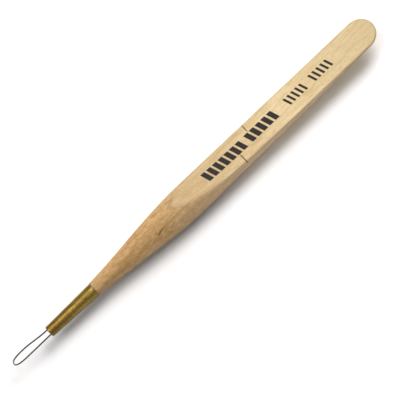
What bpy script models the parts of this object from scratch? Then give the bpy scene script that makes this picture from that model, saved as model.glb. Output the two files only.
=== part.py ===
"""Clay modelling tool: a turned wooden handle that ends in a thin round-nosed blade,
with a small wire loop held in a tapered brass ferrule at the other end.

The tool lies along X with its loop at -X and its blade at +X, and the blade's flat faces +Z.
The origin is the middle of the tool's footprint, on the surface that its belly rests on.
Lengths are in metres.
"""

import math

import bmesh
import bpy
import numpy as np
from mathutils import Vector

MM = 0.001

# Whole tool
OVERALL_LENGTH = 152.4 * MM
HANDLE_DIAMETER = 11.4 * MM

# Neck of the handle, from the ferrule's shoulder to the full diameter
NECK_DIAMETER = 4.95 * MM
NECK_LENGTH = 40.0 * MM
NECK_FLARE = 0.05  # rise of the radius for each length of neck at the shoulder

# Blade: a flat above the tool's axis, and an underside that tapers up to the nose
FLAT_HEIGHT = 2.55 * MM
FLAT_LENGTH = 52.0 * MM
BLADE_THICKNESS = 2.6 * MM  # where the flats start
NOSE_THICKNESS = 0.5 * MM
# Radius of the hollow that leads from the belly to each face of the blade
UPPER_SCOOP_RADIUS = 167.0 * MM
LOWER_SCOOP_RADIUS = 276.0 * MM

# Wire loop
WIRE_DIAMETER = 0.5 * MM
LOOP_REACH = 14.8 * MM  # from the ferrule's mouth to the outside of the loop's end
LEG_MARGIN = 0.34 * MM  # from the outside of each leg to the ferrule's bore at its mouth
LEG_DEPTH = 14.0 * MM  # length of each leg inside the ferrule
LOOP_BOW_FAR = 1.76 * MM  # how far each bowed leg stands from the tool's axis
LOOP_BOW_NEAR = 1.05 * MM
LOOP_END_LENGTH = 4.6 * MM  # from the widest place to the loop's end
LOOP_END_OFFSET = 0.25 * MM
LOOP_END_FULLNESS = 0.72  # length of the bend's handles, as a share of the bend

# Ferrule
FERRULE_LENGTH = 19.1 * MM
MOUTH_DIAMETER = 3.76 * MM
SKIRT_DIAMETER = 4.8 * MM
FERRULE_WALL = 0.3 * MM
LIP_RADIUS = 0.45 * MM

# Hardened filler that closes the mouth around the wire's legs
FILLER_LENGTH = 3.5 * MM
FILLER_CHAMFER = 0.25 * MM

# Clearances
SEAT_GAP = 0.3 * MM  # between faces that rest end to end
BORE_GAP = 0.1 * MM  # all round what is pushed into the thin-walled ferrule
LEG_GAP = 0.1 * MM  # all round each leg of the wire

# Fineness of the surfaces
TURNED_STEPS = 71  # odd, so that a narrow facet and not an edge lies under the belly
NECK_STEPS = 14
NOSE_STEPS = 9
SCOOP_STEPS = 24
LIP_STEPS = 5
MERGE_DISTANCE = 0.001 * MM

# Places along the tool
LOOP_END_X = -OVERALL_LENGTH / 2
NOSE_X = OVERALL_LENGTH / 2
MOUTH_X = LOOP_END_X + LOOP_REACH
SKIRT_X = MOUTH_X + FERRULE_LENGTH
SHOULDER_X = SKIRT_X + SEAT_GAP
BELLY_X = SHOULDER_X + NECK_LENGTH
FLAT_START_X = NOSE_X - FLAT_LENGTH
LEG_END_X = MOUTH_X + LEG_DEPTH
FILLER_FRONT_X = MOUTH_X + FERRULE_WALL + BORE_GAP
FILLER_BACK_X = FILLER_FRONT_X + FILLER_LENGTH
TENON_X = FILLER_BACK_X + SEAT_GAP

HANDLE_RADIUS = HANDLE_DIAMETER / 2
NOSE_UNDERSIDE = FLAT_HEIGHT - NOSE_THICKNESS
BALL_X = NOSE_X - math.sqrt(HANDLE_RADIUS**2 - NOSE_UNDERSIDE**2)  # centre of the round nose
UNDERSIDE_SLOPE = (BLADE_THICKNESS - NOSE_THICKNESS) / FLAT_LENGTH
WIRE_RADIUS = WIRE_DIAMETER / 2
LEG_OFFSET = MOUTH_DIAMETER / 2 - FERRULE_WALL - LEG_MARGIN - WIRE_RADIUS  # from the axis
LEG_HOLE_RADIUS = WIRE_RADIUS + LEG_GAP
CUTTER_MARGIN = 2.0 * MM  # how far a cutter reaches past what it cuts


def bezier(start, start_handle, end_handle, end, steps):
    """Points on one cubic segment, both ends included."""
    t = np.linspace(0.0, 1.0, steps + 1)[:, None]
    points = [np.array(point) for point in (start, start_handle, end_handle, end)]
    weights = [(1 - t) ** 3, 3 * t * (1 - t) ** 2, 3 * t**2 * (1 - t), t**3]
    return sum(weight * point for weight, point in zip(weights, points))


def neck_profile():
    """(x, radius) points from the shoulder to the full diameter."""
    third = NECK_LENGTH / 3
    start_radius = NECK_DIAMETER / 2
    return bezier(
        (SHOULDER_X, start_radius),
        (SHOULDER_X + third, start_radius + NECK_FLARE * third),
        (BELLY_X - third, HANDLE_RADIUS),
        (BELLY_X, HANDLE_RADIUS),
        NECK_STEPS,
    )


def ferrule_radius(x):
    """Outside radius of the ferrule's straight taper."""
    share = (x - MOUTH_X) / FERRULE_LENGTH
    return (MOUTH_DIAMETER + share * (SKIRT_DIAMETER - MOUTH_DIAMETER)) / 2


def bore_fit_radius(x):
    """Radius of a piece that is pushed into the ferrule."""
    return ferrule_radius(x) - FERRULE_WALL - BORE_GAP


def scoop_rise(x, radius):
    """How far a scoop of this radius stands off the face of the blade that it runs into."""
    reach = np.maximum(FLAT_START_X - x, 0.0)
    return radius - np.sqrt(radius**2 - reach**2)


def blade_top(x):
    """Height of the blade's upper face above the tool's axis."""
    return FLAT_HEIGHT + scoop_rise(x, UPPER_SCOOP_RADIUS)


def blade_underside(x):
    """Height of the blade's lower face above the tool's axis."""
    taper = UNDERSIDE_SLOPE * (NOSE_X - x)
    return NOSE_UNDERSIDE - taper - scoop_rise(x, LOWER_SCOOP_RADIUS)


def belly_depth():
    """Distance from the tool's axis down to the lowest point of the handle."""
    x, radius = neck_profile().T
    fine_x = np.linspace(SHOULDER_X, FLAT_START_X, 2000)
    fine_radius = np.interp(fine_x, x, radius)
    return float(np.max(np.minimum(fine_radius, -blade_underside(fine_x))))


AXIS_Z = belly_depth()


def make_collection(name):
    collection = bpy.data.collections.new(name)
    bpy.context.scene.collection.children.link(collection)
    return collection


def make_material(name, color, roughness, metallic):
    material = bpy.data.materials.new(name)
    material.use_nodes = True
    shader = material.node_tree.nodes["Principled BSDF"]
    shader.inputs["Base Color"].default_value = (*color, 1.0)
    shader.inputs["Roughness"].default_value = roughness
    shader.inputs["Metallic"].default_value = metallic
    material.diffuse_color = (*color, 1.0)
    return material


def link(obj, collection, material=None):
    collection.objects.link(obj)
    if material:
        obj.data.materials.append(material)
    return obj


def turned(name, profile):
    """Object turned about the tool's axis from (x, radius) points in order of x."""
    mesh = bpy.data.meshes.new(name)
    # The edge runs from +X to -X, so that the turned faces point outwards
    vertices = [(x, 0.0, radius) for x, radius in reversed(profile)]
    edges = [(index, index + 1) for index in range(len(vertices) - 1)]
    mesh.from_pydata(vertices, edges, [])
    obj = bpy.data.objects.new(name, mesh)
    obj.location.z = AXIS_Z
    screw = obj.modifiers.new("Turning", "SCREW")
    screw.axis = "X"
    screw.steps = TURNED_STEPS
    screw.render_steps = TURNED_STEPS
    screw.use_merge_vertices = True
    screw.merge_threshold = MERGE_DISTANCE
    return obj


def smooth_by_angle(obj):
    """Shades the faces smooth, except across edges sharper than 30 degrees."""
    for polygon in obj.data.polygons:
        polygon.use_smooth = True
    modifier = obj.modifiers.new("Crisp edges", "EDGE_SPLIT")
    modifier.split_angle = math.radians(30)


def outline_prism(name, outline, width, collection):
    """Cutter with an (x, z) outline about the tool's axis, and its width along Y."""
    curve = bpy.data.curves.new(name, "CURVE")
    curve.dimensions = "2D"
    curve.fill_mode = "BOTH"
    curve.extrude = width / 2
    spline = curve.splines.new("POLY")
    spline.points.add(len(outline) - 1)
    for point, (x, z) in zip(spline.points, outline):
        point.co = (x, z, 0.0, 1.0)
    spline.use_cyclic_u = True
    guide = bpy.data.objects.new(name, curve)
    guide.location.z = AXIS_Z
    guide.rotation_euler.x = math.pi / 2
    collection.objects.link(guide)
    return as_mesh(guide, collection)


def as_mesh(guide, collection):
    """Welded mesh object in the place of a curve object, which is removed."""
    bpy.context.view_layer.update()
    evaluated = guide.evaluated_get(bpy.context.evaluated_depsgraph_get())
    mesh = bpy.data.meshes.new_from_object(evaluated)
    welded = bmesh.new()
    welded.from_mesh(mesh)
    bmesh.ops.remove_doubles(welded, verts=welded.verts, dist=MERGE_DISTANCE)
    bmesh.ops.recalc_face_normals(welded, faces=welded.faces)
    welded.to_mesh(mesh)
    welded.free()
    place = guide.matrix_world.copy()
    name = guide.name
    bpy.data.objects.remove(guide)
    obj = bpy.data.objects.new(name, mesh)
    obj.matrix_world = place
    collection.objects.link(obj)
    return hide_cutter(obj)


def hide_cutter(obj):
    obj.hide_render = True
    obj.display_type = "WIRE"
    return obj


def active_cutter(name, collection):
    """The primitive that was just added, named and moved among the cutters."""
    obj = bpy.context.object
    obj.name = name
    for owner in list(obj.users_collection):
        owner.objects.unlink(obj)
    collection.objects.link(obj)
    return hide_cutter(obj)


def cut(obj, cutter):
    boolean = obj.modifiers.new(cutter.name, "BOOLEAN")
    boolean.operation = "DIFFERENCE"
    boolean.solver = "EXACT"
    boolean.object = cutter


def make_scoop_cutters(collection):
    """The stock that is taken off above the blade's flat, and below its underside."""
    start = BELLY_X - NECK_LENGTH
    x = np.append(np.linspace(start, FLAT_START_X, SCOOP_STEPS + 1), NOSE_X + CUTTER_MARGIN)
    far = HANDLE_DIAMETER
    width = HANDLE_DIAMETER + 2 * CUTTER_MARGIN
    corners = [(NOSE_X + CUTTER_MARGIN, far), (start, far)]
    top = [*zip(x, blade_top(x)), *corners]
    underside = [*zip(x, blade_underside(x)), *[(corner_x, -z) for corner_x, z in corners]]
    return [
        outline_prism("upper_scoop", top, width, collection),
        outline_prism("lower_scoop", underside, width, collection),
    ]


def make_kerf_cutter(collection):
    """Saw kerf that takes both legs of the wire, through the tenon from side to side."""
    front = TENON_X - CUTTER_MARGIN
    back = LEG_END_X + SEAT_GAP
    bpy.ops.mesh.primitive_cube_add(
        size=1.0,
        location=((front + back) / 2, 0.0, AXIS_Z),
        scale=(back - front, SKIRT_DIAMETER + CUTTER_MARGIN, 2 * LEG_HOLE_RADIUS),
    )
    bpy.ops.object.transform_apply(location=False, rotation=False, scale=True)
    return active_cutter("leg_kerf", collection)


def make_handle(collection, cutters):
    """Turned handle with a tenon for the ferrule, cut to a blade at the other end."""
    nose_angle = np.linspace(0.0, math.pi / 2, NOSE_STEPS + 1)
    nose = [
        (BALL_X + HANDLE_RADIUS * math.sin(angle), HANDLE_RADIUS * math.cos(angle))
        for angle in nose_angle[:-1]
    ]
    profile = [
        (TENON_X, 0.0),
        (TENON_X, bore_fit_radius(TENON_X)),
        (SHOULDER_X, bore_fit_radius(SHOULDER_X)),
        *neck_profile(),
        *nose,
        (BALL_X + HANDLE_RADIUS, 0.0),
    ]
    handle = turned("handle", profile)
    link(handle, collection, make_material("handle wood", (0.68, 0.49, 0.28), 0.55, 0.0))
    for cutter in [*make_scoop_cutters(cutters), make_kerf_cutter(cutters)]:
        cut(handle, cutter)
    smooth_by_angle(handle)
    return handle


def make_ferrule(collection):
    """Thin tapered tube whose mouth is rolled in to a rounded lip."""
    lip_center_x = MOUTH_X + LIP_RADIUS
    lip_center_radius = ferrule_radius(lip_center_x) - LIP_RADIUS
    opening_radius = LEG_OFFSET + LEG_HOLE_RADIUS
    lip_angle = np.linspace(0.0, math.pi / 2, LIP_STEPS + 1)
    lip = [
        (
            lip_center_x - LIP_RADIUS * math.cos(angle),
            lip_center_radius + LIP_RADIUS * math.sin(angle),
        )
        for angle in lip_angle
    ]
    profile = [(MOUTH_X, opening_radius), *lip, (SKIRT_X, SKIRT_DIAMETER / 2)]
    ferrule = turned("ferrule", profile)
    wall = ferrule.modifiers.new("Wall", "SOLIDIFY")
    wall.thickness = FERRULE_WALL
    wall.offset = -1.0
    wall.use_even_offset = True
    link(ferrule, collection, make_material("ferrule brass", (0.62, 0.44, 0.18), 0.3, 1.0))
    smooth_by_angle(ferrule)
    return ferrule


def make_mouth_filler(collection, cutters):
    """Plug of hardened filler behind the ferrule's lip, with a hole for each leg."""
    front_radius = bore_fit_radius(FILLER_FRONT_X)
    profile = [
        (FILLER_FRONT_X, 0.0),
        (FILLER_FRONT_X, front_radius - FILLER_CHAMFER),
        (FILLER_FRONT_X + FILLER_CHAMFER, front_radius),
        (FILLER_BACK_X, bore_fit_radius(FILLER_BACK_X)),
        (FILLER_BACK_X, 0.0),
    ]
    filler = turned("mouth_filler", profile)
    link(filler, collection, make_material("filler", (0.16, 0.1, 0.05), 0.6, 0.0))
    for side, label in ((-1, "near"), (1, "far")):
        bpy.ops.mesh.primitive_cylinder_add(
            vertices=16,
            radius=LEG_HOLE_RADIUS,
            depth=FILLER_LENGTH + 2 * CUTTER_MARGIN,
            location=((FILLER_FRONT_X + FILLER_BACK_X) / 2, side * LEG_OFFSET, AXIS_Z),
            rotation=(0.0, math.pi / 2, 0.0),
        )
        cut(filler, active_cutter(f"{label}_leg_hole", cutters))
    smooth_by_angle(filler)
    return filler


def make_wire_loop(collection):
    """Hairpin of round wire in the plane of the blade's flat, with straight legs."""
    end_x = LOOP_END_X + WIRE_RADIUS
    widest_x = end_x + LOOP_END_LENGTH
    bend = LOOP_END_LENGTH * LOOP_END_FULLNESS
    run = (MOUTH_X - widest_x) / 3
    far_bend = (LOOP_BOW_FAR - LOOP_END_OFFSET) * LOOP_END_FULLNESS
    near_bend = (LOOP_BOW_NEAR + LOOP_END_OFFSET) * LOOP_END_FULLNESS
    straight = (LEG_END_X - MOUTH_X) / 3
    # place, offset of the handle before it and offset of the handle after it, all (x, y)
    knots = [
        ((LEG_END_X, LEG_OFFSET), (straight, 0.0), (-straight, 0.0)),
        ((MOUTH_X, LEG_OFFSET), (straight, 0.0), (-run, 0.0)),
        ((widest_x, LOOP_BOW_FAR), (run, 0.0), (-bend, 0.0)),
        ((end_x, LOOP_END_OFFSET), (0.0, far_bend), (0.0, -near_bend)),
        ((widest_x, -LOOP_BOW_NEAR), (-bend, 0.0), (run, 0.0)),
        ((MOUTH_X, -LEG_OFFSET), (-run, 0.0), (straight, 0.0)),
        ((LEG_END_X, -LEG_OFFSET), (-straight, 0.0), (straight, 0.0)),
    ]
    curve = bpy.data.curves.new("wire_loop", "CURVE")
    curve.dimensions = "3D"
    curve.resolution_u = 10
    curve.bevel_depth = WIRE_RADIUS
    curve.bevel_resolution = 3
    curve.use_fill_caps = True
    spline = curve.splines.new("BEZIER")
    spline.bezier_points.add(len(knots) - 1)
    for point, (place, before, after) in zip(spline.bezier_points, knots):
        point.handle_left_type = "FREE"
        point.handle_right_type = "FREE"
        point.co = Vector((*place, 0.0))
        point.handle_left = point.co + Vector((*before, 0.0))
        point.handle_right = point.co + Vector((*after, 0.0))
    wire = bpy.data.objects.new("wire_loop", curve)
    wire.location.z = AXIS_Z
    return link(wire, collection, make_material("spring steel", (0.42, 0.4, 0.37), 0.35, 1.0))


def main():
    for obj in list(bpy.data.objects):
        bpy.data.objects.remove(obj)
    parts = make_collection("clay_modelling_tool")
    cutters = make_collection("cutters")
    make_handle(parts, cutters)
    make_ferrule(parts)
    make_mouth_filler(parts, cutters)
    make_wire_loop(parts)


main()
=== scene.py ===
"""Finished look of the clay modelling tool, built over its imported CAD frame.

The tool lies along X on a pale floor, with the wire loop at -X and the blade at +X.
Every shape is worked out in millimetres from the tool's own axis, and goes into its mesh
in metres in the frame's place.
"""

import math
import bpy
import numpy as np
from mathutils import Matrix, Vector


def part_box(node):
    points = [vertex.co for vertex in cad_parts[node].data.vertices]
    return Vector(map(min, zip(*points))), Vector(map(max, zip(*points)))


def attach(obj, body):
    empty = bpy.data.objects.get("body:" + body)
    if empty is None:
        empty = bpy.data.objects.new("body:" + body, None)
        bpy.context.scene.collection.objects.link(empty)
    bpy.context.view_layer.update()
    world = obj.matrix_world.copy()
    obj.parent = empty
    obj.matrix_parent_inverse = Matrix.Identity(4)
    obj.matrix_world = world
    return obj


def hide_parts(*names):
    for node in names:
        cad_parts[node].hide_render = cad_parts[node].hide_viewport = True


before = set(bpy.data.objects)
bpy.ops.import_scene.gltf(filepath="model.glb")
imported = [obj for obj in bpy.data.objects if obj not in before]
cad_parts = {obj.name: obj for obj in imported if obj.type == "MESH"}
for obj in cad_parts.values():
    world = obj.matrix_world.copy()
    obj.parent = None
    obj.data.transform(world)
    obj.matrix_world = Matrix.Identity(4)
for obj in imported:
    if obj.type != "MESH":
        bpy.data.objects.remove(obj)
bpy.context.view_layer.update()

MM = 0.001


def node_box(name):
    """Lowest and highest corner of a CAD node, in millimetres."""
    low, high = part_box(name)
    return np.array(low) / MM, np.array(high) / MM


handle_low, handle_high = node_box("handle")
ferrule_low, ferrule_high = node_box("ferrule")
filler_low, filler_high = node_box("mouth_filler")
wire_low, wire_high = node_box("wire_loop")

# Places along the tool, in millimetres
AXIS_Z = (wire_low[2] + wire_high[2]) / 2
LOOP_END_X = wire_low[0]
LEG_END_X = wire_high[0]
MOUTH_X = ferrule_low[0]
SKIRT_X = ferrule_high[0]
TENON_X = handle_low[0]
NOSE_X = handle_high[0]
FILLER_FRONT_X = filler_low[0]
FILLER_BACK_X = filler_high[0]

# Handle
HANDLE_RADIUS = 5.7
NECK_RADIUS = 2.475
NECK_LENGTH = 40.0
NECK_FLARE = 0.05
SHOULDER_X = SKIRT_X + 0.02
SHOULDER_ROUND = 0.16
BELLY_X = SHOULDER_X + NECK_LENGTH
FLAT_HEIGHT = 2.55
FLAT_LENGTH = 52.0
FLAT_START_X = NOSE_X - FLAT_LENGTH
UPPER_SCOOP_RADIUS = 167.0
LOWER_SCOOP_RADIUS = 276.0
NOSE_UNDERSIDE = 2.05
UNDERSIDE_FALL = 2.1
ARRIS = 0.34
EDGE_ROUND = 0.34
LEAST_EDGE = 0.03
NOSE_OUTLINE = math.sqrt(HANDLE_RADIUS**2 - (NOSE_UNDERSIDE + EDGE_ROUND / 2) ** 2)
BALL_X = NOSE_X - NOSE_OUTLINE
CLEAR_OF_WOOD = 50.0

# Ferrule
MOUTH_RADIUS = 1.88
SKIRT_RADIUS = 2.4
FERRULE_WALL = 0.3
LIP_RADIUS = 0.45
LIP_EDGE_ROUND = 0.1
RIM_ROUND = 0.07
OPENING_RADIUS = 1.34
BORE_GAP = 0.1

# Wire loop
WIRE_RADIUS = 0.25
LEG_OFFSET = 0.99
LOOP_BOW_FAR = 1.76
LOOP_BOW_NEAR = 1.05
LOOP_END_LENGTH = 4.6
LOOP_END_OFFSET = 0.25
LOOP_END_FULLNESS = 0.72

# Points round each piece and rings along it
HANDLE_SIDES = 176
BODY_RINGS = 401
NOSE_RINGS = 50
FERRULE_SIDES = 112
TAPER_RINGS = 109
FILLER_SIDES = 96
FACE_RINGS = 44
WIRE_SIDES = 22
WIRE_RINGS = 1150
FLOOR_SIDES = 48

# Unevenness of each surface as waves: height, length, turns round the tool and start
LATHE_WAVES = [
    (0.022, 31.0, 0, 0.4),
    (0.016, 17.0, 1, 1.9),
    (0.012, 9.5, -2, 0.7),
    (0.008, 6.1, 3, 2.6),
]
FLAT_WAVES = [
    (0.020, 44.0, 0, 0.3),
    (0.013, 19.0, 0, 2.1),
    (0.007, 7.0, 0, 1.2),
]
FIBRE_WAVES = [
    (0.006, 2.1, 0, 0.0),
    (0.005, 1.27, 0, 1.0),
    (0.004, 0.83, 0, 2.2),
    (0.003, 0.51, 0, 0.5),
]
BRASS_WAVES = [
    (0.010, 7.9, 0, 0.2),
    (0.008, 4.3, 1, 1.7),
    (0.006, 2.6, -1, 0.6),
    (0.010, 60.0, 2, 0.9),
    (0.003, 1.3, 2, 2.0),
]
FILLER_WAVES = [
    (0.008, 0.9, 1, 0.3),
    (0.006, 0.53, -1, 1.1),
]
WIRE_WAVES = [
    (0.0028, 0.31, 0, 0.0),
    (0.0022, 0.47, 1, 1.3),
    (0.002, 1.9, 0, 0.4),
]


# ---------------- meshes


def to_frame(points):
    """Points about the tool's axis in millimetres, as points of the frame in metres."""
    return (points + np.array([0.0, 0.0, AXIS_Z])) * MM


def make_mesh(name, vertices, quads, triangles):
    """Smooth mesh of an (n, 3) array of vertices and arrays of its faces' corners."""
    mesh = bpy.data.meshes.new(name)
    corners = np.concatenate([quads.ravel(), triangles.ravel()]).astype(np.int32)
    sizes = np.concatenate([np.full(len(quads), 4), np.full(len(triangles), 3)])
    starts = np.concatenate([[0], np.cumsum(sizes)[:-1]]).astype(np.int32)
    mesh.vertices.add(len(vertices))
    mesh.vertices.foreach_set("co", to_frame(vertices).astype(np.float32).ravel())
    mesh.loops.add(len(corners))
    mesh.loops.foreach_set("vertex_index", corners)
    mesh.polygons.add(len(sizes))
    mesh.polygons.foreach_set("loop_start", starts)
    mesh.polygons.foreach_set("use_smooth", np.ones(len(sizes), dtype=bool))
    mesh.update(calc_edges=True)
    mesh.validate()
    return mesh


def ring_angles(sides):
    """Evenly spaced angles round a ring, as one row of an array."""
    return np.linspace(0.0, 2 * np.pi, sides, endpoint=False)[None, :]


def tube_faces(rings, sides, looped=False):
    """Corners of the quads between neighbouring rings of a tube that is closed around.

    Quad (i, j) runs from point j to j + 1 of ring i, then back along ring i + 1. It
    faces outwards where the rings go along +X and their points from +Y towards +Z.
    """
    first = np.arange(rings if looped else rings - 1)[:, None]
    second = (first + 1) % rings
    side = np.arange(sides)[None, :]
    following = (side + 1) % sides
    corners = [
        first * sides + side,
        first * sides + following,
        second * sides + following,
        second * sides + side,
    ]
    return np.stack(corners, axis=-1).reshape(-1, 4)


def end_fans(rings, sides):
    """Corners of the triangles that close a tube at two points placed after its rings."""
    side = np.arange(sides)
    following = (side + 1) % sides
    start_point = np.full(sides, rings * sides)
    last = (rings - 1) * sides
    start = np.stack([start_point, following, side], axis=-1)
    end = np.stack([last + side, last + following, start_point + 1], axis=-1)
    return np.concatenate([start, end])


def closed_tube(name, points, start_point, end_point):
    """Mesh of a (rings, sides, 3) array of points, closed at each end by one point."""
    rings, sides, _ = points.shape
    vertices = np.concatenate([points.reshape(-1, 3), [start_point], [end_point]])
    return make_mesh(name, vertices, tube_faces(rings, sides), end_fans(rings, sides))


def looped_tube(name, points):
    """Mesh of a (rings, sides, 3) array of points whose last ring joins its first."""
    rings, sides, _ = points.shape
    quads = tube_faces(rings, sides, looped=True)
    return make_mesh(name, points.reshape(-1, 3), quads, np.zeros((0, 3), dtype=int))


def add_masks(mesh, **masks):
    """Attributes with a number for each vertex, and 0 for the points that close the ends."""
    for name, values in masks.items():
        padded = np.zeros(len(mesh.vertices), dtype=np.float32)
        padded[: values.size] = values.ravel()
        mesh.attributes.new(name, "FLOAT", "POINT").data.foreach_set("value", padded)


def add_object(name, data):
    """New object in the scene, at the origin and unturned."""
    thing = bpy.data.objects.new(name, data)
    bpy.context.scene.collection.objects.link(thing)
    return thing


def add_piece(name, mesh, material, node_name):
    """Places a finished mesh on the tool's body, in the stead of its CAD node."""
    mesh.materials.append(material)
    piece = add_object(name, mesh)
    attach(piece, "root")
    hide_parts(node_name)


# ---------------- formulas


def ramp(distance, length):
    """0 up to the start, distance / length after it, and 1 from that length on."""
    return np.clip(distance / length, 0.0, 1.0)


def decay(distance, length):
    """1 up to the start, and exp(-distance / length) after it."""
    return np.exp(-np.maximum(distance, 0.0) / length)


def bell(distance, width):
    """1 at the middle, falling as exp(-(distance / width)^2) on both sides."""
    return np.exp(-((distance / width) ** 2))


def bezier(start, start_handle, end_handle, end, t):
    """Cubic curve: the four points weighted by (1-t)^3, 3t(1-t)^2, 3t^2(1-t) and t^3."""
    t = np.asarray(t)[:, None]
    points = [np.array(point, dtype=float) for point in (start, start_handle, end_handle, end)]
    weights = [(1 - t) ** 3, 3 * t * (1 - t) ** 2, 3 * t**2 * (1 - t), t**3]
    return sum(weight * point for weight, point in zip(weights, points))


def arc(center, radius, start, end, steps):
    """(x, radius) points on an arc: centre + radius * (cos, sin) of each angle."""
    turn = np.radians(np.linspace(start, end, steps))
    x = center[0] + radius * np.cos(turn)
    r = center[1] + radius * np.sin(turn)
    return np.stack([x, r], axis=-1)


def soft_min(first, second, reach):
    """The lesser of two arrays, less (reach - |first - second|)^2 / (4 reach) where
    they are closer than the reach, which rounds the corner between them."""
    closeness = np.maximum(reach - np.abs(first - second), 0.0)
    return np.minimum(first, second) - closeness**2 / (4 * reach)


def waves(x, angle, table):
    """Sum of sine waves: height * sin(2 pi x / length + turns * angle + start)."""
    total = np.zeros(np.broadcast(x, angle).shape)
    for height, length, turns, start in table:
        total += height * np.sin(2 * np.pi * x / length + turns * angle + start)
    return total


# ---------------- handle and ferrule


def neck_radius(x):
    """Radius of the turned stock from the shoulder to the belly, read off one cubic curve
    that leaves the shoulder with a slight flare and reaches the belly level."""
    third = NECK_LENGTH / 3
    curve = bezier(
        (SHOULDER_X, NECK_RADIUS),
        (SHOULDER_X + third, NECK_RADIUS + NECK_FLARE * third),
        (BELLY_X - third, HANDLE_RADIUS),
        (BELLY_X, HANDLE_RADIUS),
        np.linspace(0.0, 1.0, 400),
    )
    return np.interp(x, curve[:, 0], curve[:, 1])


def ferrule_radius(x):
    """Outside radius of the ferrule: a straight taper from its mouth to its skirt."""
    share = (x - MOUTH_X) / (SKIRT_X - MOUTH_X)
    return MOUTH_RADIUS + share * (SKIRT_RADIUS - MOUTH_RADIUS)


def tenon_radius(x):
    """Radius of the stock inside the ferrule, a small gap less than its bore."""
    return ferrule_radius(x) - FERRULE_WALL - BORE_GAP


def scoop_rise(x, radius):
    """Height of an arc of this radius that is level where the blade's flats start:
    radius - sqrt(radius^2 - reach^2), with the reach measured back from there."""
    reach = np.maximum(FLAT_START_X - x, 0.0)
    return radius - np.sqrt(radius**2 - reach**2)


def handle_sections():
    """(x, stock radius, distance past the nose ball's centre) for each section, from the
    tenon's end to the nose. The tenon's end is chamfered, and the shoulder is a face with
    a small round at its edge."""
    tenon_x = np.array([0.0, 0.12, 0.35, 4.0, 8.0, 12.0, SHOULDER_X - TENON_X]) + TENON_X
    tenon_r = tenon_radius(tenon_x) - np.array([0.3, 0.1, 0.0, 0.0, 0.0, 0.0, 0.0])
    turn = np.linspace(0.0, np.pi / 2, 6)
    face_r = np.linspace(tenon_r[-1], NECK_RADIUS - SHOULDER_ROUND, 4)[1:-1]
    round_x = SHOULDER_X + SHOULDER_ROUND * (1 - np.cos(turn))
    round_r = NECK_RADIUS - SHOULDER_ROUND * (1 - np.sin(turn))
    body_x = np.linspace(round_x[-1], BALL_X, BODY_RINGS + 1)[1:]
    body_r = neck_radius(body_x)
    nose_turn = np.linspace(0.0, np.pi / 2, NOSE_RINGS + 2)[1:-1]
    past = NOSE_OUTLINE * np.sin(nose_turn)
    face_x = np.full(len(face_r), SHOULDER_X)
    nose_r = np.full(len(past), HANDLE_RADIUS)
    x = np.concatenate([tenon_x, face_x, round_x, body_x, BALL_X + past])
    radius = np.concatenate([tenon_r, face_r, round_r, body_r, nose_r])
    past = np.concatenate([np.zeros(len(x) - len(past)), past])
    return x, radius, past


def worn_stock(x, radius, angle):
    """Radius of the stock, less the broad unevenness that the lathe and sanding leave.
    The unevenness fades out at the shoulder and at the nose."""
    on_body = ramp(x - SHOULDER_X, 6.0) * ramp(NOSE_X - x, 9.0)
    return radius - on_body * (0.03 - waves(x, angle, LATHE_WAVES) * 0.5)


def cut_heights(x):
    """Heights of the two faces cut along the stock, and the height at which the blade's
    outline is widest. The tenon and the shoulder stand clear of both faces."""
    fall = UNDERSIDE_FALL / FLAT_LENGTH * (NOSE_X - x)
    top = FLAT_HEIGHT + scoop_rise(x, UPPER_SCOOP_RADIUS)
    underside = NOSE_UNDERSIDE - fall - scoop_rise(x, LOWER_SCOOP_RADIUS)
    clear = x < SHOULDER_X + 1.0
    top = np.where(clear, CLEAR_OF_WOOD, top)
    underside = np.where(clear, -CLEAR_OF_WOOD, underside)
    return top, underside, np.maximum(underside + EDGE_ROUND / 2, EDGE_ROUND / 4)


def sanded_depth(x, y):
    """Depth by which sanding hollows the flats: a few hundredths of a millimetre, more
    along some fibres, and a little more towards both sides."""
    drift = 0.012 * x + 0.12 * np.sin(x / 9.0)
    fibres = waves(y + drift, 0.0, FIBRE_WAVES)
    crown = 0.05 * (y / HANDLE_RADIUS) ** 2
    return 0.03 - waves(x, 0.0, FLAT_WAVES) * 0.6 - fibres + crown


def rounded_faces(x, y, past, height, top, underside):
    """Heights of the upper and lower surface, with sanded arrises between the stock's own
    height and each face: soft_min(height, top) and -soft_min(height, -underside).

    The arrises are rounded unevenly, most where the flat runs out into the belly and
    round the nose. Underneath they turn sharper towards the belly.
    """
    depth = sanded_depth(x, y)
    arris = ARRIS * (1.0 + 0.35 * np.sin(x / 3.7) + 0.2 * np.sin(x / 1.3 + 1.0))
    arris = arris + 0.5 * ramp(past, 4.0)
    run_out = ramp(26.0 - x, 30.0)
    on_blade = ramp(x - 10.0, 20.0)
    upper = soft_min(height, top - depth, arris + 0.4 * run_out)
    lower_depth = depth * (0.15 + 0.65 * on_blade)
    lower = -soft_min(height, -underside - lower_depth, 0.14 + arris * on_blade)
    return upper, lower


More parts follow.
